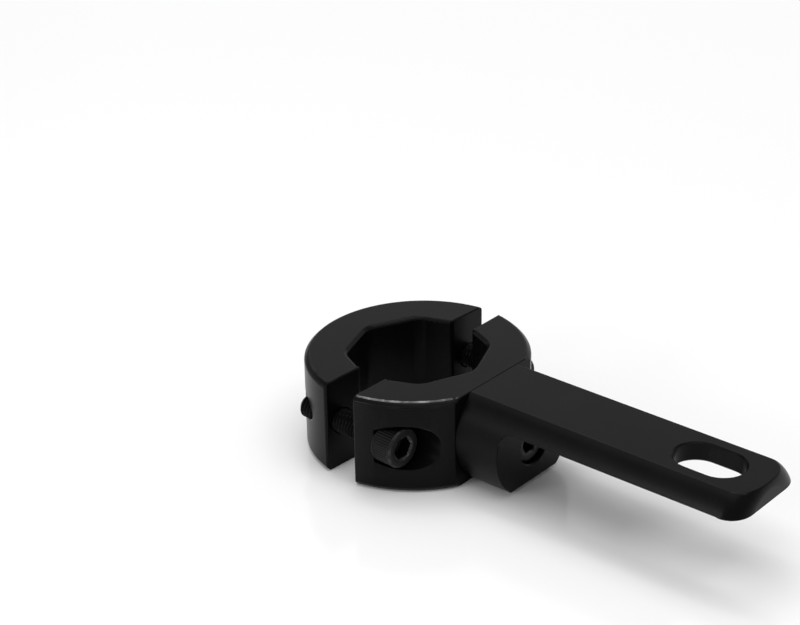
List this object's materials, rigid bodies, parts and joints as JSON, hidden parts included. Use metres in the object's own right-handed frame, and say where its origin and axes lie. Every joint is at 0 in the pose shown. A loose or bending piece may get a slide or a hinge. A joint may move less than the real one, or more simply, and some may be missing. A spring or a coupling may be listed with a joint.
{
  "type": "clamp light mount",
  "caption": "Split-ring clamp for a round frame tube with a bolted flat arm, slotted at its tip for a lamp's stud.",
  "frame": {"origin": "on the axis of the tube that the ring clamps, at the ring's lower end face", "axes": "+Z along the tube, out of the end face that is flush with the arm's flat; +X out along the arm to the lamp's slot; the ring is split on the plane X = 0"},
  "size_m": [0.1012, 0.0455, 0.0192],
  "materials": {
    "black_aluminium": "black anodised, satin, with fine turning and milling marks",
    "black_steel": "black oxide, lightly oiled"
  },
  "bodies": {
    "root": {"arm_side_half": "black_aluminium", "outer_half": "black_aluminium", "arm": "black_aluminium", "clamp_screw_near": "black_steel", "clamp_screw_far": "black_steel", "arm_screw": "black_steel"}
  },
  "joints": []
}
